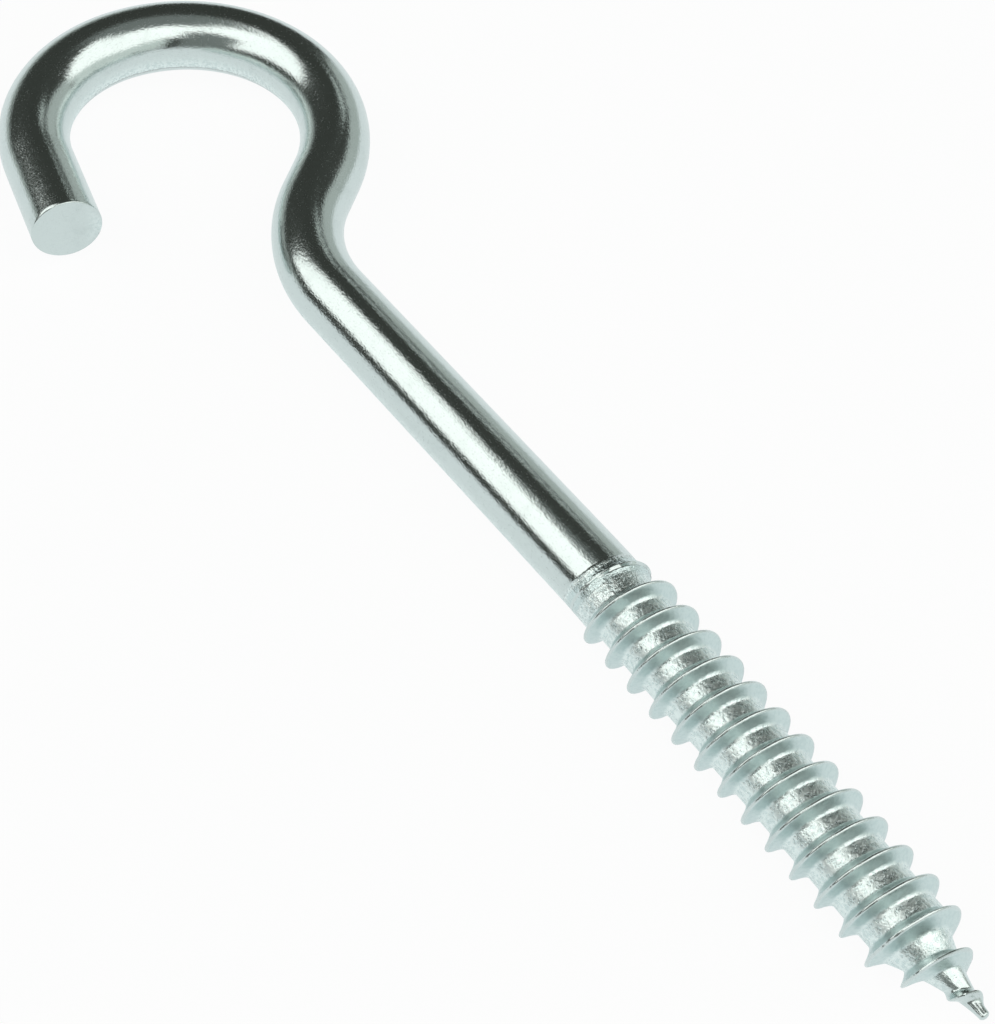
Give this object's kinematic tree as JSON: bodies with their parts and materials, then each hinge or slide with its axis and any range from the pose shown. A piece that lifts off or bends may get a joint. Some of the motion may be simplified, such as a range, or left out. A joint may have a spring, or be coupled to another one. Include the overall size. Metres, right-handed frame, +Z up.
{
  "type": "screw hook",
  "caption": "Open screw hook bent from round rod: a wide ring with an open mouth, a crook, a plain straight shank and a coarse rolled wood thread ending in a gimlet point.",
  "frame": {"origin": "on the shank's axis, at the end of the plain rod where the thread starts", "axes": "+X along the shank from the thread to the ring, +Y towards the side that the mouth opens on, +Z up, square to the plane of the hook, which lies flat"},
  "size_m": [0.1197, 0.0338, 0.0078],
  "materials": {
    "zinc_plate": "bright zinc plating on steel: mirror bright on the plain rod, satin and finely speckled in the rolled thread"
  },
  "bodies": {
    "root": {"screw_hook": "zinc_plate"}
  },
  "joints": []
}
